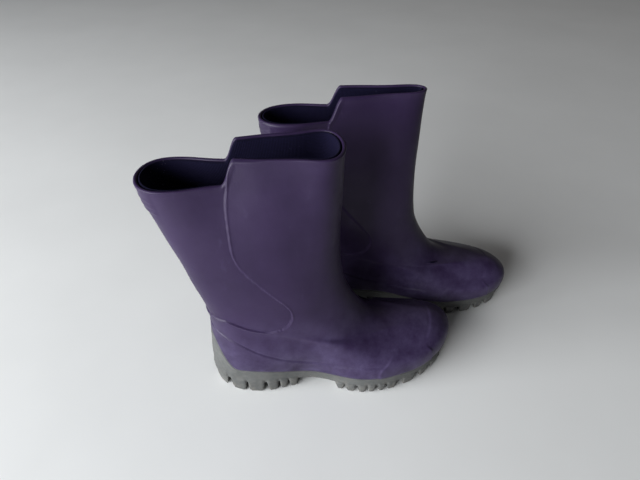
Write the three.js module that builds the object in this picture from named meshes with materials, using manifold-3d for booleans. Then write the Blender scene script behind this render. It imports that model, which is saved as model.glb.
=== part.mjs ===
// A pair of children's rubber rain boots: moulded purple shells on grey lugged soles, with a sewn-in lining
// and a footbed that lifts out. Millimetres, +Z up, +X towards the toes, +Y to the wearer's left.
// The right boot stands in front (low Y), the left boot behind it. The origin is on the ground, under the
// middle of the pair.
import * as THREE from "three";
import { mergeVertices } from "three/addons/utils/BufferGeometryUtils.js";
import Module from "manifold-3d";

// ---- Driving dimensions -------------------------------------------------------------------------------

// The outer skin is a stack of closed rings. In side view each ring runs from a back point down to a front
// point (x from the heel, z from the ground), and levels out towards the front. `half` is its half-width at
// six even places from back to front, before the ends are rounded. `side` moves the ring to the inner side
// (+) or the outer side (-), `toeIn` bends its front end to the inner side, and `twist` turns it.
const FOOT_RINGS = [
  { back: [3, -2], front: [202, 4], half: [50, 38.5, 27, 41.5, 45.5, 46], side: -3, toeIn: 9, twist: 0 },
  { back: [1, 28], front: [206, 26], half: [56, 40, 28.5, 39, 44.5, 50], side: -3, toeIn: 10, twist: 0 },
  { back: [3, 48], front: [201, 35.5], half: [54, 38.5, 29, 33, 30.5, 42], side: -3, toeIn: 10, twist: 0 },
  { back: [5, 62], front: [185, 43], half: [51, 36.5, 28.5, 30, 19, 17], side: -2, toeIn: 8.5, twist: 0 },
  { back: [4, 76], front: [161, 45], half: [47, 34, 28.5, 29.5, 27, 18], side: -1.5, toeIn: 6, twist: 0 },
  { back: [0, 92], front: [138, 49], half: [43, 33, 29, 28.5, 31, 28], side: -1, toeIn: 3, twist: 0 },
  { back: [-5, 108], front: [121, 70], half: [42, 33, 29.5, 28.5, 29, 30], side: 0, toeIn: 0, twist: 0 },
  { back: [-10, 127], front: [110, 97], half: [41, 32, 29, 28.5, 30, 34], side: 0.5, toeIn: 0, twist: 0 },
];

const RING_BEND = 1.6; // how strongly the rings level out

// The soft shafts stand pressed together: the right one wide in front, the left one flat and turned out.
const RIGHT_SHAFT = [
  { back: [-18, 152], front: [107, 138], half: [41, 31, 26.5, 27, 28.5, 37], side: 1.5, toeIn: 0, twist: 0 },
  { back: [-26, 182], front: [108, 176], half: [42, 28.5, 20, 22, 26, 42], side: 2, toeIn: 0, twist: 0 },
  { back: [-32, 212], front: [109, 212], half: [44, 26, 13.5, 16.5, 24, 50], side: 2.5, toeIn: 0, twist: 0 },
];
const LEFT_SHAFT = [
  { back: [-17, 152], front: [107, 138], half: [38, 29, 26, 24.5, 25, 31], side: -0.5, toeIn: 0, twist: -3 },
  { back: [-22, 182], front: [107.5, 176], half: [34, 25, 19, 17.5, 18, 25], side: -1, toeIn: 0, twist: -7 },
  { back: [-24, 212], front: [109, 212], half: [30, 24, 13, 10.5, 10, 18], side: -1.5, toeIn: 0, twist: -10 },
];

// The collar: high at the front, one slanted step down to the rear. Places are fractions of the length.
const COLLAR_FRONT_Z = 208;
const COLLAR_REAR_Z = 191;
const STEP_START = 0.435;
const STEP_LENGTH = 0.045;

// Heights at six even places from heel to toe.
const SEAM_Z = [28, 27, 17, 16.5, 16, 17]; // where the purple shell meets the grey sole
const HEEL_TAB_RISE = 26; // the sole climbs this much further up the back of the heel
const HEEL_TAB_LENGTH = 0.115;
const SOLE_BASE_Z = [12, 12, 8.5, 8.5, 8, 10]; // underside of the sole between its lugs
const FLOOR_Z = [20.5, 20, 15, 13, 13, 15.5]; // inside floor, under the insole board

// The lugs stand on the ground up to TOE_SPRING_START of the length, then curve up to TOE_SPRING.
const TOE_SPRING = 4.5;
const TOE_SPRING_START = 0.78;

const SHELL_THICKNESS = 2.2;
const GAP = 0.3;
const LINING_THICKNESS = 0.9;
const LINING_GAP = 0.8;
const LINING_BELOW_RIM = 2;
const BOARD_THICKNESS = 1.2;
const FOAM_THICKNESS = 3;
const COVER_THICKNESS = 0.8;
const FOOTBED_CLEARANCE = 1.6;

// Lugs: bars from the sole's edge inwards, given by their middle and length along the boot.
const LUG_INNER_EDGE = 7;
const HEEL_LUGS = { places: [10, 23, 37, 50, 63], length: 9.5 };
const FOREFOOT_LUGS = { places: [105, 115.5, 126, 136.5, 147], length: 7.5 };
const TOE_LUGS = { places: [163, 177, 190], length: 9 };
const MIDDLE_LUGS = { places: [26, 50, 112, 133, 156], length: 13, halfWidth: 5 };
const LUG_CORNER = 2.5;
const LUG_INSET = 0.8;

// How the pair stands: the left boot further forward and turned a little less than the right one.
const RIGHT_TURN = THREE.MathUtils.degToRad(4.5);
const LEFT_TURN = THREE.MathUtils.degToRad(1.5);
const LEFT_FORWARD = 66.5;
const LEFT_BESIDE = 92;

// ---- Materials ----------------------------------------------------------------------------------------

const PURPLE_PVC = new THREE.MeshStandardMaterial({ color: 0x4a3a63, roughness: 0.45 });
const GREY_RUBBER = new THREE.MeshStandardMaterial({ color: 0x55575a, roughness: 0.75 });
const NAVY_KNIT = new THREE.MeshStandardMaterial({ color: 0x17152b, roughness: 0.9 });
const BOARD_FIBRE = new THREE.MeshStandardMaterial({ color: 0x8d8474, roughness: 0.95 });
const WHITE_FOAM = new THREE.MeshStandardMaterial({ color: 0xcfcbc2, roughness: 0.9 });
const DARK_TEXTILE = new THREE.MeshStandardMaterial({ color: 0x1c1a26, roughness: 0.95 });

// ---- Curves -------------------------------------------------------------------------------------------

// Smooth value at t (0 to 1) through evenly spaced values, straight on past both ends.
function spline(values, t) {
  const last = values.length - 1;
  const place = THREE.MathUtils.clamp(t, 0, 1) * last;
  const i = Math.min(Math.floor(place), last - 1);
  const f = place - i;
  const before = i > 0 ? values[i - 1] : 2 * values[0] - values[1];
  const after = i + 2 <= last ? values[i + 2] : 2 * values[last] - values[last - 1];
  const a = values[i];
  const b = values[i + 1];
  return (
    0.5 *
    (2 * a + (b - before) * f + (2 * before - 5 * a + 4 * b - after) * f ** 2 +
      (3 * a - before - 3 * b + after) * f ** 3)
  );
}

const along = (u) => (1 + Math.cos(u)) / 2;

// The outer skin of one boot, as for a right boot: skin(u, v) is a point of it, where u runs round it from
// the toe (0) over the inner side to the heel (pi) and v runs up the stack of rings from 0 to 1.
function skinOf(rings) {
  const column = (pick) => rings.map(pick);
  const backX = column((ring) => ring.back[0]);
  const backZ = column((ring) => ring.back[1]);
  const frontX = column((ring) => ring.front[0]);
  const frontZ = column((ring) => ring.front[1]);
  const side = column((ring) => ring.side);
  const toeIn = column((ring) => ring.toeIn);
  const twist = column((ring) => ring.twist);
  const halves = [0, 1, 2, 3, 4, 5].map((i) => column((ring) => ring.half[i]));
  return (u, v) => {
    const k = along(u);
    const half = spline(halves.map((values) => spline(values, v)), k);
    const middle = spline(side, v) + spline(toeIn, v) * k ** 4 + spline(twist, v) * (k - 0.5);
    const down = 1 - Math.max(0, 1 - k) ** RING_BEND;
    return new THREE.Vector3(
      THREE.MathUtils.lerp(spline(backX, v), spline(frontX, v), k),
      half * Math.sin(u) + middle,
      THREE.MathUtils.lerp(spline(backZ, v), spline(frontZ, v), down),
    );
  };
}

// The skin's v at the height z on the line u.
function levelAt(skin, u, z) {
  let low = 0;
  let high = 1;
  for (let i = 0; i < 24; i++) {
    const middle = (low + high) / 2;
    if (skin(u, middle).z < z) low = middle;
    else high = middle;
  }
  return (low + high) / 2;
}

const PATCH_TURN = 0.2;
const PATCH_RISE = 0.05;

// The skin moved inwards by depth, square to itself. The direction is averaged over a small patch, so that
// neighbouring points don't cross where the skin is folded sharply.
function inside(skin, u, v, depth) {
  const round = skin(u + PATCH_TURN, v).sub(skin(u - PATCH_TURN, v));
  const up = skin(u, Math.min(v + PATCH_RISE, 1)).sub(skin(u, Math.max(v - PATCH_RISE, 0)));
  return skin(u, v).addScaledVector(round.cross(up).normalize(), -depth);
}

// Angles round a ring, the same on both sides, closer together at the collar's step.
const HALF_TURN = [
  0, 12, 24, 36, 48, 60, 70, 80, 88, 92.6, 94.4, 96.2, 98, 106, 117, 128, 138, 147, 156, 167, 180,
].map(THREE.MathUtils.degToRad);
const TURN = [...HALF_TURN, ...HALF_TURN.slice(1, -1).reverse().map((u) => 2 * Math.PI - u)];

function collarZ(k) {
  const rise = THREE.MathUtils.smoothstep(k, STEP_START, STEP_START + STEP_LENGTH);
  return THREE.MathUtils.lerp(COLLAR_REAR_Z, COLLAR_FRONT_Z, rise);
}

const heightOf = (values) => (k) => spline(values, k);
const seamAlongSide = heightOf(SEAM_Z);
const floorZ = heightOf(FLOOR_Z);
const baseZ = heightOf(SOLE_BASE_Z);

function seamZ(k) {
  const tab = THREE.MathUtils.smoothstep(HEEL_TAB_LENGTH - k, 0, HEEL_TAB_LENGTH);
  return seamAlongSide(k) + HEEL_TAB_RISE * tab;
}

function springZ(k) {
  return TOE_SPRING * (Math.max(0, k - TOE_SPRING_START) / (1 - TOE_SPRING_START)) ** 2;
}

// A ring of skin points at a height given along the boot, at a depth below the skin.
function ringAt(skin, zAlong, depth) {
  return TURN.map((u) => inside(skin, u, levelAt(skin, u, zAlong(along(u))), depth));
}

// Every wall takes its rings at the same places between the seam and UPPER_LEVEL, and between the floor and
// the seam, so that nested walls stay apart.
const UPPER_LEVEL = 0.88;
const SHARES = [0, 0.06, 0.13, 0.2, 0.27, 0.34, 0.41, 0.49, 0.6, 0.78, 1];

function ringAtLevel(skin, level, depth) {
  return TURN.map((u) => inside(skin, u, level(u), depth));
}

const seamLevel = (skin) => (u) => levelAt(skin, u, seamZ(along(u)) + GAP);
const floorLevel = (skin) => (u) => levelAt(skin, u, floorZ(along(u)) + GAP);

function ringsAboveSeam(skin, depth) {
  const low = seamLevel(skin);
  return SHARES.map((share) =>
    ringAtLevel(skin, (u) => THREE.MathUtils.lerp(low(u), UPPER_LEVEL, share), depth));
}

// A ring's points set at a height given along the boot.
const levelled = (ring, zAlong) =>
  ring.map((point, i) => new THREE.Vector3(point.x, point.y, zAlong(along(TURN[i]))));

const overFloor = (rise) => (k) => floorZ(k) + rise;

// Rings from just over the floor to just under the seam.
function ringsUnderSeam(skin, depth) {
  const [low, high] = [floorLevel(skin), seamLevel(skin)];
  const rings = [0.33, 0.67].map((share) =>
    ringAtLevel(skin, (u) => THREE.MathUtils.lerp(low(u), high(u), share), depth));
  return [levelled(ringAtLevel(skin, low, depth), overFloor(GAP)), ...rings];
}

// A wall with an outer and an inner face, open at both ends, through rings given for a depth.
function wall(ringsAt, outerDepth, thickness) {
  return loft([...ringsAt(outerDepth), ...ringsAt(outerDepth + thickness).reverse()], "loop");
}

const moved = (ring, z) => ring.map((point) => new THREE.Vector3(point.x, point.y, point.z + z));

// ---- Closed solids ------------------------------------------------------------------------------------

// A surface over rings of equal length. It is closed by joining the last ring to the first, or by caps
// that bridge each ring from side to side. On the way back down a loop the faces are split along the other
// diagonal, so that an inner face has the same triangles as the outer face over it.
function loft(rings, closing) {
  const n = TURN.length;
  const positions = rings.flat().flatMap((point) => point.toArray());
  const faces = [];
  const quad = (a, b, c, d) => faces.push(a, b, c, a, c, d);
  const rows = closing === "loop" ? rings.length : rings.length - 1;
  for (let row = 0; row < rows; row++) {
    const here = row * n;
    const next = ((row + 1) % rings.length) * n;
    const wayBack = closing === "loop" && row >= rings.length / 2;
    for (let i = 0; i < n; i++) {
      const j = (i + 1) % n;
      if (wayBack) quad(here + j, next + j, next + i, here + i);
      else quad(here + i, here + j, next + j, next + i);
    }
  }
  if (closing === "caps") {
    const top = (rings.length - 1) * n;
    for (let i = 0; i < n / 2; i++) {
      const mirror = (n - i) % n;
      quad(i, mirror, n - i - 1, i + 1);
      quad(top + i + 1, top + n - i - 1, top + mirror, top + i);
    }
  }
  return clean(positions, faces);
}

// Geometry with its shared corners merged and its empty faces dropped.
function clean(positions, faces) {
  const geometry = new THREE.BufferGeometry();
  geometry.setAttribute("position", new THREE.Float32BufferAttribute(positions, 3));
  geometry.setIndex(faces);
  const merged = mergeVertices(geometry, 1e-4);
  const kept = [];
  for (let i = 0; i < merged.index.count; i += 3) {
    const [a, b, c] = [0, 1, 2].map((corner) => merged.index.getX(i + corner));
    if (a !== b && b !== c && c !== a) kept.push(a, b, c);
  }
  merged.setIndex(kept);
  return merged;
}

const wasm = await Module();
wasm.setup();

function solid(geometry) {
  const bare = geometry.clone();
  bare.deleteAttribute("normal");
  bare.deleteAttribute("uv");
  const merged = mergeVertices(bare, 1e-4);
  return new wasm.Manifold(
    new wasm.Mesh({
      numProp: 3,
      vertProperties: new Float32Array(merged.attributes.position.array),
      triVerts: new Uint32Array(merged.index.array),
    }),
  );
}

function fromSolid(made) {
  const mesh = made.getMesh();
  const geometry = new THREE.BufferGeometry();
  geometry.setAttribute("position", new THREE.Float32BufferAttribute(mesh.vertProperties, 3));
  geometry.setIndex(new THREE.Uint32BufferAttribute(mesh.triVerts, 1));
  return geometry;
}

// ---- The pieces of one boot ---------------------------------------------------------------------------

function upperShell(skin) {
  const ringsAt = (depth) => [...ringsAboveSeam(skin, depth), ringAt(skin, collarZ, depth)];
  return wall(ringsAt, 0, SHELL_THICKNESS);
}

// One tread bar: an upright block with rounded corners, deeper than the tread.
function lugBar(x, length, nearY, farY) {
  const [x0, x1] = [x - length / 2, x + length / 2];
  const [y0, y1] = [Math.min(nearY, farY), Math.max(nearY, farY)];
  const r = LUG_CORNER;
  const outline = new THREE.Shape();
  outline.moveTo(x0 + r, y0);
  outline.lineTo(x1 - r, y0);
  outline.absarc(x1 - r, y0 + r, r, -Math.PI / 2, 0);
  outline.absarc(x1 - r, y1 - r, r, 0, Math.PI / 2);
  outline.absarc(x0 + r, y1 - r, r, Math.PI / 2, Math.PI);
  outline.absarc(x0 + r, y0 + r, r, Math.PI, 1.5 * Math.PI);
  return new THREE.ExtrudeGeometry(outline, { depth: 14, bevelEnabled: false, curveSegments: 2 })
    .translate(0, 0, -1);
}

function lugBars() {
  const reach = 60;
  const bars = [];
  for (const { places, length } of [HEEL_LUGS, FOREFOOT_LUGS, TOE_LUGS]) {
    for (const x of places) {
      bars.push(lugBar(x, length, LUG_INNER_EDGE, reach), lugBar(x, length, -LUG_INNER_EDGE, -reach));
    }
  }
  const { places, length, halfWidth } = MIDDLE_LUGS;
  places.forEach((x) => bars.push(lugBar(x, length, -halfWidth, halfWidth)));
  return bars.map(solid).reduce((all, bar) => all.add(bar));
}

// The sole: a shallow cup up to the seam, with its lugs cut to the sole's outline.
function outsole(skin) {
  const outer = [ringAt(skin, baseZ, 0), ...ringsUnderSeam(skin, 0), ringAt(skin, seamZ, 0)];
  const floor = levelled(ringAt(skin, floorZ, SHELL_THICKNESS), floorZ);
  const inner = [ringAt(skin, seamZ, SHELL_THICKNESS), ...ringsUnderSeam(skin, SHELL_THICKNESS).reverse()];
  const cup = solid(loft([...outer, ...inner, floor], "caps"));
  const edge = ringAt(skin, baseZ, LUG_INSET);
  const ground = edge.map((point, i) => new THREE.Vector3(point.x, point.y, springZ(along(TURN[i]))));
  const column = solid(loft([ground, moved(edge, 1)], "caps"));
  return fromSolid(cup.add(column.intersect(lugBars())));
}

const LINING_DEPTH = SHELL_THICKNESS + LINING_GAP;
const INSIDE_DEPTH = LINING_DEPTH + LINING_THICKNESS;

function lining(skin) {
  const high = (k) => collarZ(k) - LINING_BELOW_RIM;
  const ringsAt = (depth) =>
    [...ringsUnderSeam(skin, depth), ...ringsAboveSeam(skin, depth), ringAt(skin, high, depth)];
  return wall(ringsAt, LINING_DEPTH, LINING_THICKNESS);
}

// A flat layer lying in the boot, its underside at a height over the floor.
function layer(skin, rise, thickness, depth) {
  const under = levelled(ringAt(skin, floorZ, depth), overFloor(rise));
  return loft([under, moved(under, thickness)], "caps");
}

const BOARD_Z = GAP;
const FOAM_Z = BOARD_Z + BOARD_THICKNESS + GAP;
const COVER_Z = FOAM_Z + FOAM_THICKNESS + GAP;
const FOOTBED_DEPTH = INSIDE_DEPTH + FOOTBED_CLEARANCE;

// ---- The pair -----------------------------------------------------------------------------------------

function boot(name, shaftRings) {
  const skin = skinOf([...FOOT_RINGS, ...shaftRings]);
  const pieces = {
    upper: [upperShell(skin), PURPLE_PVC],
    outsole: [outsole(skin), GREY_RUBBER],
    lining: [lining(skin), NAVY_KNIT],
    insole_board: [layer(skin, BOARD_Z, BOARD_THICKNESS, INSIDE_DEPTH + GAP), BOARD_FIBRE],
    footbed_foam: [layer(skin, FOAM_Z, FOAM_THICKNESS, FOOTBED_DEPTH), WHITE_FOAM],
    footbed_cover: [layer(skin, COVER_Z, COVER_THICKNESS, FOOTBED_DEPTH), DARK_TEXTILE],
  };
  const group = new THREE.Group();
  for (const [piece, [geometry, material]] of Object.entries(pieces)) {
    const mesh = new THREE.Mesh(geometry, material);
    mesh.name = `${name}_${piece}`;
    group.add(mesh);
  }
  return group;
}

const right = boot("right", RIGHT_SHAFT);
right.rotation.z = RIGHT_TURN;

const left = boot("left", LEFT_SHAFT);
left.scale.y = -1;
left.rotation.z = LEFT_TURN;
left.position.set(LEFT_FORWARD, LEFT_BESIDE, 0);

const pair = new THREE.Group();
pair.add(right, left);
const box = new THREE.Box3().setFromObject(pair, true);
const middle = box.getCenter(new THREE.Vector3());
for (const one of [right, left]) {
  one.position.x -= middle.x;
  one.position.y -= middle.y;
  one.position.z -= box.min.z;
}

export default pair;
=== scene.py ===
# A pair of children's moulded rubber rain boots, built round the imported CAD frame.
# Shapes are worked out in millimetres in one boot's own space (x from the heel, y to the inner side, z up),
# then set down in metres in the row frame.
import math

import bmesh
import bpy
import numpy as np
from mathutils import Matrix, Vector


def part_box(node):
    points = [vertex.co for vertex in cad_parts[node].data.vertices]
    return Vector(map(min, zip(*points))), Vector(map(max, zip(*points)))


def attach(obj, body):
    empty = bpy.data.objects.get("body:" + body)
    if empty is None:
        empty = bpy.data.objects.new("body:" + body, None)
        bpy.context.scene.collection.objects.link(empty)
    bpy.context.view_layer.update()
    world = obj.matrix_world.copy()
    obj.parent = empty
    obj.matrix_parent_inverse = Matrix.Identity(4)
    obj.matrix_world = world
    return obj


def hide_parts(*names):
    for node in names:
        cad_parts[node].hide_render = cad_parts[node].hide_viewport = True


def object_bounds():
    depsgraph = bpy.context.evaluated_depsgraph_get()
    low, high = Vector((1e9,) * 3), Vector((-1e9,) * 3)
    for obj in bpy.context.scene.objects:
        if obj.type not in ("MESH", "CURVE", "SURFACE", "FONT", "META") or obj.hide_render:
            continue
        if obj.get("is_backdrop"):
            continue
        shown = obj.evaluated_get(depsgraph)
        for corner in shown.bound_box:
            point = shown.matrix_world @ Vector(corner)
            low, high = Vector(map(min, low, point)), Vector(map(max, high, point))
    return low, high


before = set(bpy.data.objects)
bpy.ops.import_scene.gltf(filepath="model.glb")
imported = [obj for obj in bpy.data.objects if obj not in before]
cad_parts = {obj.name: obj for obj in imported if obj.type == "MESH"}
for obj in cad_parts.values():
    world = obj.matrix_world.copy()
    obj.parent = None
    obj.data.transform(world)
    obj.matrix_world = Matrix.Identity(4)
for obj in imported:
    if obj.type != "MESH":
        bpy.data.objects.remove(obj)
cad_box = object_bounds()

MM = 0.001

# ---- Driving dimensions, the same as the CAD part's -----------------------------------------------------

# One ring: back (x, z), front (x, z), six half-widths from heel to toe, side shift, toe-in, twist.
FOOT_RINGS = [
    (3, -2, 202, 4, 50, 38.5, 27, 41.5, 45.5, 46, -3, 9, 0),
    (1, 28, 206, 26, 56, 40, 28.5, 39, 44.5, 50, -3, 10, 0),
    (3, 48, 201, 35.5, 54, 38.5, 29, 33, 30.5, 42, -3, 10, 0),
    (5, 62, 185, 43, 51, 36.5, 28.5, 30, 19, 17, -2, 8.5, 0),
    (4, 76, 161, 45, 47, 34, 28.5, 29.5, 27, 18, -1.5, 6, 0),
    (0, 92, 138, 49, 43, 33, 29, 28.5, 31, 28, -1, 3, 0),
    (-5, 108, 121, 70, 42, 33, 29.5, 28.5, 29, 30, 0, 0, 0),
    (-10, 127, 110, 97, 41, 32, 29, 28.5, 30, 34, 0.5, 0, 0),
]
RIGHT_SHAFT = [
    (-18, 152, 107, 138, 41, 31, 26.5, 27, 28.5, 37, 1.5, 0, 0),
    (-26, 182, 108, 176, 42, 28.5, 20, 22, 26, 42, 2, 0, 0),
    (-32, 212, 109, 212, 44, 26, 13.5, 16.5, 24, 50, 2.5, 0, 0),
]
LEFT_SHAFT = [
    (-17, 152, 107, 138, 38, 29, 26, 24.5, 25, 31, -0.5, 0, -3),
    (-22, 182, 107.5, 176, 34, 25, 19, 17.5, 18, 25, -1, 0, -7),
    (-24, 212, 109, 212, 30, 24, 13, 10.5, 10, 18, -1.5, 0, -10),
]
# How a ring passes from its back height to its front one: 1 is straight, more levels off in front.
RING_BEND = 1.6
COLLAR_FRONT_Z = 208
COLLAR_REAR_Z = 191
# Places and lengths along a ring, which runs from 0 at the heel to 1 at the toe.
STEP_START = 0.435
STEP_LENGTH = 0.045
HEEL_TAB_LENGTH = 0.115
TOE_SPRING_START = 0.78
HEEL_TAB_RISE = 26
TOE_SPRING = 4.5
# Heights at even steps from heel to toe.
SEAM_Z = [28, 27, 17, 16.5, 16, 17]
SOLE_BASE_Z = [12, 12, 8.5, 8.5, 8, 10]
FLOOR_Z = [20.5, 20, 15, 13, 13, 15.5]
WALL = 2.2
GAP = 0.3
LINING = 0.9
LINING_GAP = 0.8
BOARD = 1.2
FOAM = 3
COVER = 0.8

# ---- Moulded detail, which only the visible pieces have -------------------------------------------------

STEP_ROUNDING = 0.035

# Lines of the shell, as (x, z) on either side of the boot.
ANKLE_PANEL = [
    (34, 205), (32, 190), (30, 176), (30, 158), (31, 142), (34, 133), (39, 125), (46, 116), (54, 106.5),
    (62, 97), (67, 90), (69, 84), (68.5, 78), (65, 72), (58, 68.5), (50, 67.5), (39, 70), (30, 74),
    (20, 79),
]
BEHIND_PANEL = [(-70.0, 76.0), (-70.0, 205.0)]
RAND = [
    (-20, 64), (10, 63), (22, 59), (30, 55), (40, 49), (50, 43.5), (60, 38), (70, 33.5), (84, 29.5),
    (100, 27.5), (117, 28.5), (128, 28), (142, 27), (160, 26), (215, 26),
]
BUMPER_TOP_Z = 34.5
BUMPER = [(137, -20), (137, 24), (150, BUMPER_TOP_Z), (178, BUMPER_TOP_Z), (184.5, 28), (186, -20)]

# Beads, grooves and ribs as (height, half their width), and steps as (height, run of their slope).
PANEL_STEP = (0.85, 0.6)
PANEL_STEP_LEAD = 0.18
PANEL_FADE_START = 3
PANEL_FADE = 26
PANEL_BEAD = (0.35, 1.1)
PANEL_BEAD_OFFSET = 0.6
PANEL_GROOVE = (0.15, 1.2)
RAND_STEP = (0.6, 0.7)
RAND_GROOVE = (0.3, 1.1)
RAND_FRONT_X = 150
BUMPER_STEP = (0.55, 0.9)
BUMPER_BEAD = (0.4, 1)
BUMPER_BEAD_OFFSET = 0.8
CAP_X = 185.5
CAP_END_X = 205
CAP_LOW_Z = 33
CAP_MIDDLE_Y = 3
CAP_CURVE = 0.014
CAP_STEP = (0.35, 0.9)
CAP_GROOVE = (0.12, 1.2)
SEAM_TUCK = 0.45
SEAM_TUCK_RISE = 1.6
RIB_PATCH = 0.4
RIB_PATCH_LOW_Z = 171
RIB_PATCH_TOP_Z = 190
RIB_PATCH_LENGTH = 0.1
RIB = (0.5, 1.4)
RIBS_Z = (174, 178.5, 183)
PARTING_LINE = (0.28, 0.9)
PARTING_LENGTH = 0.25
PARTING_LOW_Z = 66
NUB = (0.8, 1.7)
NUBS_Z = (96, 118, 141, 163)
SWELL = 0.32
SWELL_LOW_Z = 70
RIPPLE = 0.12
INSTEP_X = (60, 185)
INSTEP_Z = (34, 95)
LIP_REACH = 4
RIM_BEAD = 1.2
RIM_LIP = 0.4

SEGMENTS = 520
SOLE_SEGMENTS = 720
FOOTBED_SEGMENTS = 260
OUTER_ROWS = 172
INNER_ROWS = 8
SOFTENING_PASSES = 160

# How wide a patch of skin each normal is averaged over: round the ring, and up the rings.
FINE_PATCH = (0.02, 0.006)
RIM_PATCH = (0.12, 0.03)
SOLE_PATCH = (0.1, 0.03)
BROAD_PATCH = (0.2, 0.05)


# ---- Curves ---------------------------------------------------------------------------------------------


def catmull_rom(p0, p1, p2, p3, f):
    """The curve through p1 and p2, at f from 0 to 1 between them."""
    return 0.5 * (2 * p1 + (p2 - p0) * f + (2 * p0 - 5 * p1 + 4 * p2 - p3) * f**2
                  + (3 * p1 - p0 - 3 * p2 + p3) * f**3)


def spline(values, t):
    """A smooth curve through evenly spaced values (first axis), at t from 0 to 1."""
    values = np.asarray(values, float)
    last = len(values) - 1
    place = np.clip(t, 0, 1) * last
    i = np.minimum(place.astype(int), last - 1)
    padded = np.concatenate([[2 * values[0] - values[1]], values, [2 * values[-1] - values[-2]]])
    f = place - i
    if values.ndim > 1:
        f = f[..., None]
    return catmull_rom(*(padded[i + n] for n in range(4)), f)


def smooth(t):
    """0 below 0, 1 above 1 and an even slope between them."""
    t = np.clip(t, 0, 1)
    return t * t * (3 - 2 * t)


def bump(distance, width):
    """1 on a line, falling smoothly to 0 at width from it."""
    return smooth(1 - np.abs(distance) / width)


def line_relief(distance, profile):
    """A bead along a line, with a profile of (height, half its width)."""
    height, width = profile
    return height * bump(distance, width)


def step_relief(distance, profile):
    """A step up beyond a line, with a profile of (height, run of its slope)."""
    height, run = profile
    return height * smooth(distance / run)


def along(u):
    """The share of the ring's length from heel to toe."""
    return (1 + np.cos(u)) / 2


def half_width(halves, k):
    """Half the ring's width at k, through the six half-widths of each point's own ring."""
    spans = halves.shape[-1] - 1
    place = np.clip(k, 0, 1) * spans
    i = np.minimum(place.astype(int), spans - 1)
    before = 2 * halves[..., :1] - halves[..., 1:2]
    after = 2 * halves[..., -1:] - halves[..., -2:-1]
    padded = np.concatenate([before, halves, after], -1)
    near = (np.take_along_axis(padded, (i + n)[..., None], -1)[..., 0] for n in range(4))
    return catmull_rom(*near, place - i)


def skin(rings, u, v):
    """Points of the outer skin: u runs round from the toe over the inner side, v up the rings."""
    ring = spline(rings, v)
    k = along(u)
    back_x, back_z, front_x, front_z = (ring[..., n] for n in range(4))
    shift, toe_in, twist = (ring[..., n] for n in range(10, 13))
    middle = shift + toe_in * k**4 + twist * (k - 0.5)
    x = back_x + (front_x - back_x) * k
    z = back_z + (front_z - back_z) * (1 - np.clip(1 - k, 0, 1) ** RING_BEND)
    return np.stack([x, half_width(ring[..., 4:10], k) * np.sin(u) + middle, z], -1)


def level_at(rings, u, z):
    """The v at which the skin reaches a height, by halving the span that holds it."""
    low = np.zeros_like(u)
    high = np.ones_like(u)
    for _ in range(26):
        middle = (low + high) / 2
        under = skin(rings, u, middle)[..., 2] < z
        low = np.where(under, middle, low)
        high = np.where(under, high, middle)
    return (low + high) / 2


def frames(rings, u, v, patch):
    """Outward normal and upward direction, averaged over a patch of skin."""
    turn, rise = patch
    around = skin(rings, u + turn, v) - skin(rings, u - turn, v)
    up = skin(rings, u, np.minimum(v + rise, 1)) - skin(rings, u, np.maximum(v - rise, 0))
    normal = np.cross(around, up)
    normal /= np.linalg.norm(normal, axis=-1, keepdims=True)
    up /= np.linalg.norm(up, axis=-1, keepdims=True)
    return normal, up


def inset(rings, u, v, depth, patch):
    """Points inside the skin by depth, which is one number or one for each point."""
    normal, _ = frames(rings, u, v, patch)
    return skin(rings, u, v) - normal * np.broadcast_to(depth, v.shape)[..., None]


def collar_z(k):
    """The collar's edge: as high as the CAD's, with the corners of its step rounded off."""
    share = (k - STEP_START + STEP_ROUNDING / 2) / (STEP_LENGTH + STEP_ROUNDING)
    return COLLAR_REAR_Z + (COLLAR_FRONT_Z - COLLAR_REAR_Z) * smooth(share)


def seam_z(k):
    return spline(SEAM_Z, k) + HEEL_TAB_RISE * smooth((HEEL_TAB_LENGTH - k) / HEEL_TAB_LENGTH)


def spring_z(k):
    return TOE_SPRING * (np.maximum(0, k - TOE_SPRING_START) / (1 - TOE_SPRING_START)) ** 2


def distance_to(line, x, z):
    """Distance in side view from each point to an open line of (x, z) corners."""
    best = np.full(x.shape, 1e9)
    for (x0, z0), (x1, z1) in zip(line, line[1:]):
        dx, dz = x1 - x0, z1 - z0
        t = np.clip(((x - x0) * dx + (z - z0) * dz) / (dx * dx + dz * dz), 0, 1)
        best = np.minimum(best, np.hypot(x - x0 - t * dx, z - z0 - t * dz))
    return best


def is_inside(outline, x, z):
    """Whether each point lies in a closed outline of (x, z) corners."""
    crossings = np.zeros(x.shape, int)
    for (x0, z0), (x1, z1) in zip(outline, outline[1:] + outline[:1]):
        if z0 == z1:
            continue
        spans = (z0 > z) != (z1 > z)
        crossings += spans & (x < x0 + (z - z0) / (z1 - z0) * (x1 - x0))
    return crossings % 2 == 1


def rounded_line(corners, steps=8):
    """The same line with its corners rounded by a spline."""
    t = np.linspace(0, 1, (len(corners) - 1) * steps + 1)
    return [tuple(point) for point in spline(np.array(corners, float), t)]


# ---- Placing a boot in the row frame --------------------------------------------------------------------


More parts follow.
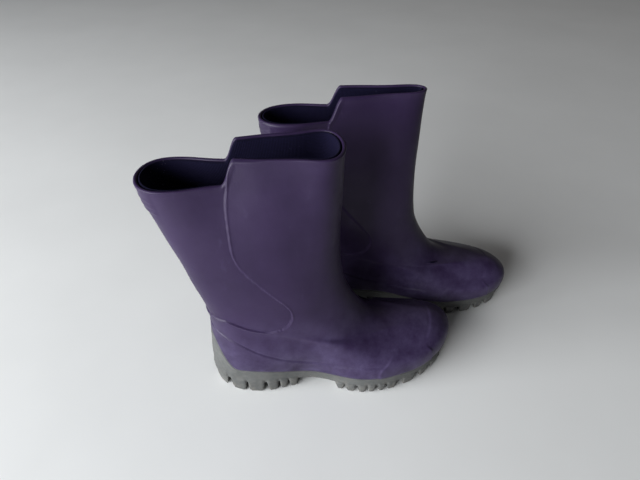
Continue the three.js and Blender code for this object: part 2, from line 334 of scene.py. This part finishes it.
class Boot:
    def __init__(self, name, rings, turn, flip):
        self.name = name
        self.rings = np.array(rings, float)
        self.turn = math.radians(turn)
        self.flip = flip
        self.origin = np.zeros(3)
        self.origin = self.find_origin()

    def find_origin(self):
        """Sets this boot's skin over the CAD shell's box."""
        u = np.linspace(0, 2 * math.pi, 240, endpoint=False)
        top = level_at(self.rings, u, collar_z(along(u)))
        low = level_at(self.rings, u, seam_z(along(u)))
        v = low + (top - low) * np.linspace(0, 1, 60)[:, None]
        points = self.to_row(skin(self.rings, np.broadcast_to(u, v.shape), v)).reshape(-1, 3)
        cad_low, cad_high = (np.array(corner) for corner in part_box(f"{self.name}_upper"))
        origin = (cad_low + cad_high) / 2 - (points.min(0) + points.max(0)) / 2
        origin[2] = 0
        return origin

    def to_row(self, points):
        x, y, z = points[..., 0], points[..., 1] * self.flip, points[..., 2]
        c, s = math.cos(self.turn), math.sin(self.turn)
        return np.stack([x * c - y * s, x * s + y * c, z], -1) * MM + self.origin


# ---- Meshes ---------------------------------------------------------------------------------------------


def loft_faces(rows, columns, closed):
    """Quads over rows of points that run round; closed also joins the last row to the first."""
    r = np.arange(rows if closed else rows - 1)[:, None]
    c = np.arange(columns)[None, :]
    here = r * columns
    above = ((r + 1) % rows) * columns
    beside = (c + 1) % columns
    return np.stack([here + c, here + beside, above + beside, above + c], -1).reshape(-1, 4)


def build(boot, piece, rows, material, body, closed=False, grid=None):
    """One piece from rows of points round the boot; its seams are merged and its faces turned outwards."""
    rows = np.asarray(rows)
    faces = loft_faces(rows.shape[0], rows.shape[1], closed)
    mesh = bpy.data.meshes.new(f"{boot.name}_{piece}_visual")
    mesh.from_pydata(boot.to_row(rows).reshape(-1, 3).tolist(), [], faces.tolist())
    if grid is not None:
        add_uv(mesh, grid, faces, rows.shape)
    shape = bmesh.new()
    shape.from_mesh(mesh)
    bmesh.ops.remove_doubles(shape, verts=shape.verts, dist=2e-6)
    bmesh.ops.recalc_face_normals(shape, faces=shape.faces)
    for face in shape.faces:
        face.smooth = True
    shape.to_mesh(mesh)
    shape.free()
    mesh.materials.append(material)
    piece_object = bpy.data.objects.new(mesh.name, mesh)
    bpy.context.scene.collection.objects.link(piece_object)
    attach(piece_object, body)
    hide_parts(f"{boot.name}_{piece}")
    return piece_object


def add_uv(mesh, grid, faces, shape):
    """A UV map in millimetres round and up the piece, for knitted patterns."""
    around, up = grid
    columns = shape[1]
    row = faces // columns
    column = (faces % columns).astype(float)
    column[:, 1:3] = column[:, :1] + 1
    uv = np.stack([column * around / columns, np.asarray(up)[row]], -1)
    layer = mesh.uv_layers.new(name="millimetres")
    layer.data.foreach_set("uv", uv.reshape(-1).astype(np.float32))


def turn_angles(count=SEGMENTS):
    return np.linspace(0, 2 * math.pi, count, endpoint=False)


def middle_of(ring):
    """The line down the middle of a ring: each point halfway to the one across from it."""
    across = (-np.arange(len(ring))) % len(ring)
    return (ring + ring[across]) / 2


# ---- The shell ------------------------------------------------------------------------------------------

# How far the middle of each ring is shifted to the side; both boots use the right one's.
SIDE_SHIFT = [ring[10] for ring in FOOT_RINGS + RIGHT_SHAFT]


def panel_relief(x, z):
    """The ankle panel is sunk behind a stepped edge that fades out forwards."""
    border = rounded_line(ANKLE_PANEL) + BEHIND_PANEL
    edge = distance_to(border[:-1], x, z)
    fade = smooth(1 - (edge - PANEL_FADE_START) / PANEL_FADE)
    step = fade * step_relief(edge + PANEL_STEP_LEAD, PANEL_STEP)
    bead = line_relief(edge - PANEL_BEAD_OFFSET, PANEL_BEAD)
    groove = line_relief(edge, PANEL_GROOVE)
    return np.where(is_inside(border, x, z), -groove, step + bead)


def rand_relief(x, z):
    """The rand is a raised band low round the foot, and ends at the bumper."""
    line = rounded_line(RAND)
    edge = distance_to(line, x, z)
    below = z < np.interp(x, [p[0] for p in line], [p[1] for p in line])
    band = step_relief(edge, RAND_STEP)
    groove = line_relief(edge, RAND_GROOVE)
    return smooth((RAND_FRONT_X - x) / 12) * np.where(below, band, -groove)


def bumper_relief(x, z):
    """The bumper is a raised patch at the side of the toes, which fades out upwards."""
    edge = distance_to(BUMPER + BUMPER[:1], x, z)
    bead = line_relief(edge - BUMPER_BEAD_OFFSET, BUMPER_BEAD)
    height = (step_relief(edge, BUMPER_STEP) + bead) * smooth((BUMPER_TOP_Z - z) / 6)
    return np.where(is_inside(BUMPER, x, z), height, 0)


def cap_relief(x, y, z):
    """A faint cap line crosses the toe."""
    in_front = x - CAP_X + CAP_CURVE * (y - CAP_MIDDLE_Y) ** 2
    step = step_relief(in_front, CAP_STEP) * smooth((CAP_END_X - x) / 12)
    return smooth((z - CAP_LOW_Z) / 5) * (step - line_relief(in_front, CAP_GROOVE))


def rib_relief(k, z):
    """Ribs in a raised patch at the back of the collar."""
    height = RIB_PATCH * smooth((z - RIB_PATCH_LOW_Z) / 2) * smooth((RIB_PATCH_TOP_Z - z) / 4)
    for rib_z in RIBS_Z:
        height += line_relief(z - rib_z, RIB)
    return smooth((RIB_PATCH_LENGTH - k) / 0.03) * height


def parting_relief(k, off_line, z):
    """The parting line up the back, with its small moulding nubs."""
    height = line_relief(off_line, PARTING_LINE) * (z > PARTING_LOW_Z)
    for nub_z in NUBS_Z:
        height += line_relief(np.hypot(off_line, z - nub_z), NUB)
    return smooth((PARTING_LENGTH - k) / 0.2) * height


def unevenness(x, y, z):
    """Thick soft rubber is never quite even."""
    swell = SWELL * np.sin(x / 17 + z / 23) * np.sin(z / 19 - y / 13) * smooth((z - SWELL_LOW_Z) / 40)
    return swell + RIPPLE * np.sin(x / 6.1 + 1.3) * np.sin(z / 7.3 + y / 9)


def lip_relief(rings, x, z):
    """The lip thickens along the whole edge of the collar."""
    k = np.linspace(0, 1, 160)
    u = np.arccos(2 * k - 1)
    edge = skin(rings, u, level_at(rings, u, collar_z(k)))
    edge_line = [(point[0], point[2]) for point in edge]
    return RIM_LIP * smooth((LIP_REACH - distance_to(edge_line, x, z)) / 1.8)


def shell_relief(rings, points, u, v):
    """How far the moulded detail stands out of the plain skin, in millimetres."""
    x, y, z = points[..., 0], points[..., 1], points[..., 2]
    k = along(u)
    height = panel_relief(x, z) + rand_relief(x, z) + bumper_relief(x, z) + cap_relief(x, y, z)
    # The shell is drawn in a little where it meets the sole.
    height -= SEAM_TUCK * smooth(1 - (z - seam_z(k)) / SEAM_TUCK_RISE)
    height += rib_relief(k, z) + parting_relief(k, y - spline(SIDE_SHIFT, v), z)
    height += unevenness(x, y, z) + lip_relief(rings, x, z)
    return height


def soften_instep(points, normals):
    """Blends the shaft into the foot: a running average up the rows, round the instep only."""
    x, z = points[..., 0], points[..., 2]
    weight = 0.5 * smooth((x - INSTEP_X[0]) / 25) * smooth((INSTEP_X[1] - x) / 20)
    weight = weight * smooth((z - INSTEP_Z[0]) / 6) * smooth((INSTEP_Z[1] - z) / 20)
    both = np.concatenate([points, normals], axis=-1)
    for _ in range(SOFTENING_PASSES):
        average = both.copy()
        average[1:-1] = (both[:-2] + both[2:]) / 2
        both = both + (average - both) * weight[..., None]
    return both[..., :3], both[..., 3:]


def rim_rows(rings, u, high):
    """The rounded rim of the collar, over from the outer face to the inner one."""
    normal, up = frames(rings, u, high, RIM_PATCH)
    top = skin(rings, u, high)
    radius = (WALL + RIM_LIP) / 2
    rows = []
    for angle in np.linspace(0.2, math.pi - 0.2, 7):
        out = RIM_LIP - radius * (1 - math.cos(angle))
        rows.append(top + normal * out + up * RIM_BEAD * math.sin(angle))
    return rows


def upper(boot, material):
    rings = boot.rings
    u = turn_angles()
    k = along(u)
    low = level_at(rings, u, seam_z(k) + GAP)
    high = level_at(rings, u, collar_z(k) - RIM_BEAD)

    v = low + (high - low) * np.linspace(0, 1, OUTER_ROWS)[:, None]
    uu = np.broadcast_to(u, v.shape)
    normal, _ = frames(rings, uu, v, FINE_PATCH)
    points, normal = soften_instep(skin(rings, uu, v), normal)
    height = shell_relief(rings, points, uu, v)
    outer = points + normal * height[..., None]

    v = low + (high - low) * np.linspace(1, 0, INNER_ROWS)[:, None]
    inner = inset(rings, np.broadcast_to(u, v.shape), v, WALL, BROAD_PATCH)
    rows = np.concatenate([outer, rim_rows(rings, u, high), inner])
    return build(boot, "upper", rows, material, f"{boot.name}_boot", closed=True)


# ---- The sole -------------------------------------------------------------------------------------------

# The lugs as (start, end) in x: one row down each side of the tread, and one down its middle.
SIDE_LUGS = [
    (5, 15.5), (18, 30), (31.2, 44.5), (47, 56), (57.2, 64), (65.2, 72.5), (103, 109.5), (110.5, 118),
    (120, 127), (128, 134.5), (136.5, 143), (144, 153), (158, 170), (174, 182.5), (186, 197),
]
MIDDLE_LUGS = [(19, 32), (42, 57), (106, 118), (126, 139), (149, 162)]
LUG_CORNER = 2.4
LUG_SLANT = 0.12
LUG_SLANT_FROM = 36
LUG_REACH = 1.2
LUG_TAPER = 1.6
CHANNEL = 6.5
EDGE_INSET = 0.15
SEAM_ROUNDING = 0.8
WELT = 0.35
HOLLOW = 0.5


def block(x, start, end):
    """1 over a lug, with rounded shoulders at both ends."""
    t = np.clip(np.minimum(x - start, end - x) / LUG_CORNER, 0, 1)
    return np.sqrt(np.clip(1 - (1 - t) ** 2, 0, 1))


def lug_height(x, y):
    """How much of a full lug stands at each point of the tread, 0 to 1."""
    off_middle = np.abs(y)
    slanted = x + LUG_SLANT * (LUG_SLANT_FROM - off_middle)
    side = np.max([block(slanted, *lug) for lug in SIDE_LUGS], axis=0)
    middle = np.max([block(x, *lug) for lug in MIDDLE_LUGS], axis=0)
    side = side * smooth((off_middle - CHANNEL) / 1.6)
    middle = middle * smooth((CHANNEL - 1.2 - off_middle) / 1.4)
    return np.maximum(side, middle)


def sole_top_rows(at, floor_z, top_z):
    """The floor from its middle line outwards, then up the inner face and over the rounded top."""
    inner = at(floor_z, WALL)
    inner[:, 2] = floor_z
    rows = [inner + (middle_of(inner) - inner) * share for share in np.linspace(1, 0, 6)]
    rows += [at(floor_z + (top_z - 1 - floor_z) * share, WALL) for share in (0.35, 0.7, 1)]
    for angle in np.linspace(0.3, math.pi - 0.3, 5):
        z = top_z - SEAM_ROUNDING + SEAM_ROUNDING * math.sin(angle)
        rows.append(at(z, WALL / 2 * (1 + math.cos(angle))))
    return rows


def sidewall_rows(at, top_z, base_z, lugs):
    """A welt under the seam, a shallow hollow, and lugs that stand out at the bottom."""
    start_z = top_z - SEAM_ROUNDING
    tall = smooth((top_z - base_z) / 6)
    rows = []
    for share in np.linspace(0.05, 1, 18):
        hollow = HOLLOW * math.sin(math.pi * min(1, share * 1.25)) - WELT * (share < 0.15)
        shelf = LUG_REACH * lugs * smooth((share - 0.72) / 0.2)
        rows.append(at(start_z + (base_z - start_z) * share, hollow * tall - shelf))
    return rows


def lug_face_rows(edge, lugs, base_z, drop):
    """The outer faces of the lugs, drawn in towards the ground."""
    outwards = edge - middle_of(edge)
    outwards[:, 2] = 0
    outwards /= np.maximum(np.linalg.norm(outwards, axis=1, keepdims=True), 1e-6)
    rows = []
    for share in (0.1, 0.3, 0.5, 0.7, 0.84, 0.94):
        reach = EDGE_INSET + LUG_REACH - LUG_TAPER * share**4
        ring = edge + outwards * (lugs * reach)[:, None]
        ring[:, 2] = base_z - drop * lugs * share
        rows.append(ring)
    return rows


def tread_rows(edge, base_z, drop):
    """The underside, from the edge to the middle line."""
    middle = middle_of(edge)
    rows = []
    for share in np.concatenate([[0.024], np.linspace(0.04, 1, 46)]):
        ring = edge + (middle - edge) * share
        ring[:, 2] = base_z - drop * lug_height(ring[:, 0], ring[:, 1] - middle[:, 1])
        rows.append(ring)
    return rows


def outsole(boot, material):
    u = turn_angles(SOLE_SEGMENTS)
    k = along(u)
    top_z = seam_z(k)
    base_z = spline(SOLE_BASE_Z, k)
    drop = base_z - spring_z(k)

    def at(z, depth):
        return inset(boot.rings, u, level_at(boot.rings, u, z), depth, SOLE_PATCH)

    edge = at(base_z, EDGE_INSET)
    lugs = lug_height(edge[:, 0], edge[:, 1] - middle_of(edge)[:, 1])
    rows = sole_top_rows(at, spline(FLOOR_Z, k), top_z)
    rows += sidewall_rows(at, top_z, base_z, lugs)
    rows += lug_face_rows(edge, lugs, base_z, drop)
    rows += tread_rows(edge, base_z, drop)
    return build(boot, "outsole", rows, material, f"{boot.name}_boot")


# ---- The soft pieces ------------------------------------------------------------------------------------

LINING_BELOW_COLLAR = 1.3
LINING_HEM = 0.045
HEM_FOLD = 0.5
STITCH = 0.25
WRINKLE = 0.25
FOOTBED_PLAY = 1.6
FOOTBED_EDGE = 0.02
FOOTBED_RIPPLE = 0.06
COVER_DISH = 0.5

# Millimetres of knit round and up the lining, and of jersey round the footbed and between its rows.
LINING_CLOTH = (300, 180)
FOOTBED_CLOTH = (480, 1.4)


def lining_relief(u, share):
    """The folded hem with its line of stitches, and the soft wrinkles below it."""
    down = 1 - share
    folded = HEM_FOLD * smooth((LINING_HEM - down) / 0.004)
    stitch = STITCH * float(abs(down - 0.85 * LINING_HEM) < 0.004)
    wrinkle = WRINKLE * np.sin(9 * u + 14 * share) * np.sin(31 * share) * smooth(down / 0.1)
    return folded - stitch + wrinkle


def lining(boot, material):
    u = turn_angles()
    k = along(u)
    floor_z = spline(FLOOR_Z, k) + GAP
    low = level_at(boot.rings, u, floor_z)
    high = level_at(boot.rings, u, collar_z(k) - LINING_BELOW_COLLAR)
    outside = WALL + LINING_GAP

    def row(share, depth):
        return inset(boot.rings, u, low + (high - low) * share, depth, BROAD_PATCH)

    around, tall = LINING_CLOTH
    outer_shares = np.linspace(0, 1, 24)
    rows = [row(share, outside) for share in outer_shares]
    ups = list(outer_shares * tall)
    for angle in np.linspace(0.3, math.pi - 0.3, 5):
        depth = outside + (LINING + HEM_FOLD) * (1 - math.cos(angle)) / 2
        rows.append(row(1, depth) + [0, 0, 0.8 * math.sin(angle)])
        ups.append(tall + 1)
    for share in np.linspace(1, 0, 120):
        rows.append(row(share, outside + LINING + lining_relief(u, share)))
        ups.append(share * tall)
    for bottom in (rows[0], rows[-1]):
        bottom[:, 2] = floor_z
    grid = (around, ups)
    return build(boot, "lining", rows, material, f"{boot.name}_boot", closed=True, grid=grid)


def footbed_layer(boot, piece, over_floor, thickness, material, dish):
    """A thin pad lying on the floor, with rounded edges and a top dished towards its middle."""
    u = turn_angles(FOOTBED_SEGMENTS)
    floor_z = spline(FLOOR_Z, along(u))
    depth = WALL + LINING_GAP + LINING + FOOTBED_PLAY
    edge = inset(boot.rings, u, level_at(boot.rings, u, floor_z), depth, BROAD_PATCH)
    edge[:, 2] = floor_z + over_floor
    middle = middle_of(edge)

    def ring(share, height):
        points = edge + (middle - edge) * share
        points[:, 2] += height
        return points

    rows = [ring(share, 0) for share in np.linspace(1, FOOTBED_EDGE, 14)]
    for angle in np.linspace(-1.2, 1.2, 6):
        rows.append(ring(FOOTBED_EDGE * (1 - math.cos(angle)), thickness * (1 + math.sin(angle)) / 2))
    for share in np.linspace(FOOTBED_EDGE, 1, 40):
        cup = dish * (smooth(1 - share * 2.2) - 0.4)
        ripple = FOOTBED_RIPPLE * math.sin(share * 120)
        rows.append(ring(share, thickness + (cup + ripple) * smooth(share / 0.06)))
    around, row_step = FOOTBED_CLOTH
    grid = (around, [row * row_step for row in range(len(rows))])
    return build(boot, piece, rows, material, f"{boot.name}_footbed", grid=grid)


# ---- Materials ------------------------------------------------------------------------------------------


class Nodes:
    """A short way to lay out a Principled material."""

    def __init__(self, name):
        self.material = bpy.data.materials.new(name)
        self.material.use_nodes = True
        self.tree = self.material.node_tree
        self.shader = self.tree.nodes["Principled BSDF"]
        coordinates = self.tree.nodes.new("ShaderNodeTexCoord")
        self.place = coordinates.outputs["Object"]
        self.uv = coordinates.outputs["UV"]

    def set(self, **values):
        for name, value in values.items():
            self.shader.inputs[name.replace("_", " ")].default_value = value

    def link(self, source, target):
        self.tree.links.new(source, target)

    def scaled(self, source, scale):
        node = self.tree.nodes.new("ShaderNodeMapping")
        node.inputs["Scale"].default_value = scale
        self.link(source, node.inputs["Vector"])
        return node.outputs["Vector"]

    def noise(self, scale, detail, roughness=0.5, source=None):
        """Cloudy noise, with scale in clouds a metre."""
        node = self.tree.nodes.new("ShaderNodeTexNoise")
        node.inputs["Scale"].default_value = scale
        node.inputs["Detail"].default_value = detail
        node.inputs["Roughness"].default_value = roughness
        self.link(source or self.place, node.inputs["Vector"])
        return node.outputs["Fac"]

    def voronoi(self, scale):
        node = self.tree.nodes.new("ShaderNodeTexVoronoi")
        node.feature = "F1"
        node.inputs["Scale"].default_value = scale
        self.link(self.place, node.inputs["Vector"])
        return node.outputs["Distance"]

    def wave(self, scale, source, direction, distortion):
        node = self.tree.nodes.new("ShaderNodeTexWave")
        node.bands_direction = direction
        node.inputs["Scale"].default_value = scale
        node.inputs["Distortion"].default_value = distortion
        self.link(source, node.inputs["Vector"])
        return node.outputs["Fac"]

    def span(self, value, low, high, to_low=0.0, to_high=1.0):
        """The value's part between low and high, spread from to_low to to_high."""
        node = self.tree.nodes.new("ShaderNodeMapRange")
        node.inputs["From Min"].default_value = low
        node.inputs["From Max"].default_value = high
        node.inputs["To Min"].default_value = to_low
        node.inputs["To Max"].default_value = to_high
        self.link(value, node.inputs["Value"])
        return node.outputs["Result"]

    def math(self, operation, a, b):
        node = self.tree.nodes.new("ShaderNodeMath")
        node.operation = operation
        for value, socket in ((a, node.inputs[0]), (b, node.inputs[1])):
            if isinstance(value, (int, float)):
                socket.default_value = value
            else:
                self.link(value, socket)
        return node.outputs[0]

    def times(self, a, b):
        return self.math("MULTIPLY", a, b)

    def mix(self, factor, a, b):
        node = self.tree.nodes.new("ShaderNodeMix")
        node.data_type = "RGBA"
        self.link(factor, node.inputs["Factor"])
        for value, name in ((a, "A"), (b, "B")):
            socket = next(s for s in node.inputs if s.name == name and s.type == "RGBA")
            if isinstance(value, tuple):
                socket.default_value = (*value, 1)
            else:
                self.link(value, socket)
        return next(s for s in node.outputs if s.type == "RGBA")

    def height(self):
        """The height over the ground, in metres."""
        node = self.tree.nodes.new("ShaderNodeSeparateXYZ")
        self.link(self.place, node.inputs["Vector"])
        return node.outputs["Z"]

    def colour(self, output):
        self.link(output, self.shader.inputs["Base Color"])

    def roughness(self, output):
        self.link(output, self.shader.inputs["Roughness"])

    def uneven_roughness(self, scale, detail, low, high):
        self.roughness(self.span(self.noise(scale, detail), 0.3, 0.7, low, high))

    def bumps(self, *layers):
        """Layers of (height, distance in metres, strength), one on top of the other."""
        normal = None
        for height, distance, strength in layers:
            node = self.tree.nodes.new("ShaderNodeBump")
            node.inputs["Distance"].default_value = distance
            node.inputs["Strength"].default_value = strength
            self.link(height, node.inputs["Height"])
            if normal:
                self.link(normal, node.inputs["Normal"])
            normal = node.outputs["Normal"]
        self.link(normal, self.shader.inputs["Normal"])


# Colours as linear red, green and blue.
PURPLE = (0.0255, 0.0136, 0.0475)
PURPLE_DEEP = (0.018, 0.009, 0.0355)
# Pale purple for real dust and scuffs, also used as painted bounce light low on the shell.
PURPLE_DUST_AND_BOUNCE_LIGHT = (0.1, 0.08, 0.165)
RUBBER_DARK = (0.064, 0.066, 0.065)
RUBBER_PALE = (0.094, 0.096, 0.095)
RUBBER_DIRT = (0.17, 0.155, 0.135)
YARN_DEEP = (0.0035, 0.003, 0.011)
YARN_TOP = (0.012, 0.0095, 0.038)
LINT = (0.2, 0.19, 0.26)
FIBRE_DARK = (0.2, 0.17, 0.125)
FIBRE_PALE = (0.33, 0.29, 0.225)
FOAM_PORE = (0.3, 0.28, 0.24)
FOAM_PALE = (0.62, 0.6, 0.53)
FOAM_AGED = (0.48, 0.44, 0.36)
JERSEY_DEEP = (0.01, 0.009, 0.017)
JERSEY_TOP = (0.03, 0.027, 0.045)
JERSEY_WORN = (0.075, 0.07, 0.085)
TABLE_DULL = (0.8, 0.8, 0.795)
TABLE_PALE = (0.84, 0.84, 0.835)


def purple_pvc():
    m = Nodes("moulded_purple_pvc")
    m.set(IOR=1.44, Specular_IOR_Level=0.3, Coat_Weight=0.02, Coat_Roughness=0.3)
    cloudy = m.span(m.noise(22, 4, 0.6), 0.35, 0.65)
    body = m.mix(cloudy, PURPLE_DEEP, PURPLE)
    upright = m.scaled(m.place, (1.0, 1.0, 0.35))
    scuffs = m.span(m.noise(90, 6, 0.75, upright), 0.6, 0.78, 0, 0.55)
    # Painted bounce light: the purple turns paler towards the ground, standing in for light bounced up from
    # the table, laid over real patches of dust.
    low = m.span(m.height(), 0.085, 0.015)
    dust_and_bounce_light = m.times(m.span(m.noise(60, 5, 0.7), 0.3, 0.75), m.math("ADD", low, 0.07))
    patchy = m.mix(m.times(dust_and_bounce_light, 0.68), body, PURPLE_DUST_AND_BOUNCE_LIGHT)
    m.colour(m.mix(m.times(scuffs, 0.35), patchy, PURPLE_DUST_AND_BOUNCE_LIGHT))
    even = m.span(m.noise(130, 4, 0.6), 0.3, 0.7, 0.4, 0.52)
    m.roughness(m.math("ADD", even, m.times(scuffs, 0.25)))
    m.bumps((m.noise(950, 2), 0.00012, 0.35), (m.noise(120, 3), 0.0005, 0.2), (scuffs, 0.0001, 0.3))
    return m.material


def grey_rubber():
    m = Nodes("grey_tread_rubber")
    m.set(IOR=1.48)
    cloudy = m.span(m.noise(45, 5, 0.6), 0.3, 0.7)
    body = m.mix(cloudy, RUBBER_DARK, RUBBER_PALE)
    low = m.span(m.height(), 0.012, 0.0)
    dirt = m.times(m.span(m.noise(210, 6, 0.7), 0.42, 0.62), m.math("ADD", low, 0.25))
    m.colour(m.mix(m.times(dirt, 0.6), body, RUBBER_DIRT))
    m.uneven_roughness(300, 3, 0.68, 0.88)
    m.bumps((m.noise(1500, 3), 0.00015, 0.5), (m.noise(240, 4), 0.0004, 0.3))
    return m.material


def navy_knit():
    m = Nodes("navy_knitted_lining")
    m.set(Sheen_Weight=0.04, Sheen_Roughness=0.5, Sheen_Tint=(0.4, 0.35, 0.8, 1))
    m.set(IOR=1.35, Specular_IOR_Level=0.12)
    wales = m.wave(0.42, m.uv, "X", 0.4)
    courses = m.wave(0.55, m.uv, "Y", 0.6)
    loops = m.times(wales, courses)
    yarn = m.mix(m.span(loops, 0.05, 0.8), YARN_DEEP, YARN_TOP)
    lint = m.span(m.voronoi(420), 0.16, 0.08)
    rare = m.span(m.noise(38, 2), 0.56, 0.66)
    m.colour(m.mix(m.times(m.times(lint, rare), 0.6), yarn, LINT))
    m.uneven_roughness(260, 3, 0.82, 0.97)
    m.bumps((loops, 0.0004, 0.7), (m.noise(1600, 2), 0.0002, 0.4))
    return m.material


def board_fibre():
    m = Nodes("insole_board_fibre")
    m.set(Sheen_Weight=0.1)
    fibres = m.noise(700, 6, 0.75, m.scaled(m.place, (0.3, 1.0, 1.0)))
    m.colour(m.mix(m.span(fibres, 0.35, 0.7), FIBRE_DARK, FIBRE_PALE))
    m.uneven_roughness(200, 3, 0.85, 0.98)
    m.bumps((fibres, 0.0003, 0.5), (m.noise(90, 3), 0.0004, 0.2))
    return m.material


def white_foam():
    m = Nodes("footbed_foam_cells")
    m.set(Sheen_Weight=0.1, Subsurface_Weight=0.05)
    cells = m.voronoi(1300)
    aged = m.mix(m.span(m.noise(50, 4), 0.35, 0.7), FOAM_PALE, FOAM_AGED)
    m.colour(m.mix(m.span(cells, 0.0, 0.35), FOAM_PORE, aged))
    m.uneven_roughness(300, 3, 0.85, 0.97)
    m.bumps((cells, 0.0004, 0.8), (m.noise(180, 3), 0.0004, 0.3))
    return m.material


def dark_textile():
    m = Nodes("footbed_cover_jersey")
    m.set(Sheen_Weight=0.3, Sheen_Roughness=0.6)
    weave = m.times(m.wave(0.6, m.uv, "X", 0.5), m.wave(0.6, m.uv, "Y", 0.5))
    patchy = m.span(m.noise(30, 4, 0.6), 0.45, 0.75)
    body = m.mix(m.span(weave, 0.05, 0.8), JERSEY_DEEP, JERSEY_TOP)
    m.colour(m.mix(m.times(patchy, 0.4), body, JERSEY_WORN))
    m.uneven_roughness(260, 3, 0.85, 0.98)
    m.bumps((weave, 0.0003, 0.6), (m.noise(1400, 2), 0.0002, 0.4))
    return m.material


def pale_floor():
    m = Nodes("pale_table")
    m.colour(m.mix(m.span(m.noise(6, 4), 0.3, 0.7), TABLE_DULL, TABLE_PALE))
    m.uneven_roughness(40, 4, 0.5, 0.6)
    m.bumps((m.noise(800, 2), 0.00005, 0.2))
    return m.material


# ---- The pair -------------------------------------------------------------------------------------------

MATERIALS = {
    "upper": purple_pvc(),
    "outsole": grey_rubber(),
    "lining": navy_knit(),
    "insole_board": board_fibre(),
    "footbed_foam": white_foam(),
    "footbed_cover": dark_textile(),
}

BOOTS = [
    Boot("right", FOOT_RINGS + RIGHT_SHAFT, 4.5, 1),
    Boot("left", FOOT_RINGS + LEFT_SHAFT, 1.5, -1),
]

for boot in BOOTS:
    upper(boot, MATERIALS["upper"])
    outsole(boot, MATERIALS["outsole"])
    lining(boot, MATERIALS["lining"])
    foam_z = GAP + BOARD + GAP
    cover_z = foam_z + FOAM + GAP
    foam = footbed_layer(boot, "footbed_foam", foam_z, FOAM, MATERIALS["footbed_foam"], 0.0)
    footbed_layer(boot, "footbed_cover", cover_z, COVER, MATERIALS["footbed_cover"], COVER_DISH)
    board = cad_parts[f"{boot.name}_insole_board"]
    board.data.materials.clear()
    board.data.materials.append(MATERIALS["insole_board"])


# ---- Camera, floor and light ----------------------------------------------------------------------------

FOCAL_PIXELS = 505
PICTURE_WIDTH = 640
SENSOR = 36
CAMERA_FROM_HEEL = (0.092, -0.279, 0.363)
CAMERA_DOWN = 39
FLOOR_HALF = 3.0
FLOOR_DROP = 0.0002
ROOM_COLOUR = (0.9, 0.9, 0.92, 1)
ROOM_STRENGTH = 0.06

# Name, place, aim, size, watts and colour.
LAMPS = [
    ("window", (-1.35, -1.0, 0.6), (0, 0, 0.05), (2.0, 1.0), 78, (0.95, 0.98, 1.0)),
    ("room", (0.9, 1.2, 1.4), (0, 0, 0.1), (1.6, 1.2), 1.5, (1.0, 0.93, 0.86)),
]


def camera():
    data = bpy.data.cameras.new("camera")
    data.sensor_width = SENSOR
    data.lens = FOCAL_PIXELS / PICTURE_WIDTH * SENSOR
    data.clip_start = 0.01
    eye = bpy.data.objects.new("camera", data)
    x, y, z = CAMERA_FROM_HEEL
    heel = BOOTS[0].origin
    eye.location = (heel[0] + x, heel[1] + y, z)
    eye.rotation_euler = (math.radians(90 - CAMERA_DOWN), 0, 0)
    bpy.context.scene.collection.objects.link(eye)
    bpy.context.scene.camera = eye


def floor():
    mesh = bpy.data.meshes.new("table_top")
    signs = [(-1, -1), (1, -1), (1, 1), (-1, 1)]
    corners = [(sx * FLOOR_HALF, sy * FLOOR_HALF, 0) for sx, sy in signs]
    mesh.from_pydata(corners, [], [(0, 1, 2, 3)])
    mesh.materials.append(pale_floor())
    table = bpy.data.objects.new("table_top", mesh)
    bpy.context.scene.collection.objects.link(table)
    table.location.z = -FLOOR_DROP
    table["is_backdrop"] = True


def area_light(name, location, target, size, power, colour):
    data = bpy.data.lights.new(name, "AREA")
    data.shape = "RECTANGLE"
    data.size, data.size_y = size
    data.energy = power
    data.color = colour
    lamp = bpy.data.objects.new(name, data)
    lamp.location = location
    away = np.array(location) - np.array(target)
    lamp.rotation_euler = (
        math.atan2(math.hypot(away[0], away[1]), away[2]),
        0,
        math.atan2(away[0], -away[1]),
    )
    bpy.context.scene.collection.objects.link(lamp)


def studio():
    for lamp in LAMPS:
        area_light(*lamp)
    world = bpy.data.worlds.new("room_light")
    world.use_nodes = True
    background = world.node_tree.nodes["Background"]
    background.inputs["Color"].default_value = ROOM_COLOUR
    background.inputs["Strength"].default_value = ROOM_STRENGTH
    bpy.context.scene.world = world
    bpy.context.scene.view_settings.view_transform = "Standard"


camera()
floor()
studio()


visual_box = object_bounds()
boxes = [[[float(value) for value in corner] for corner in box] for box in (cad_box, visual_box)]
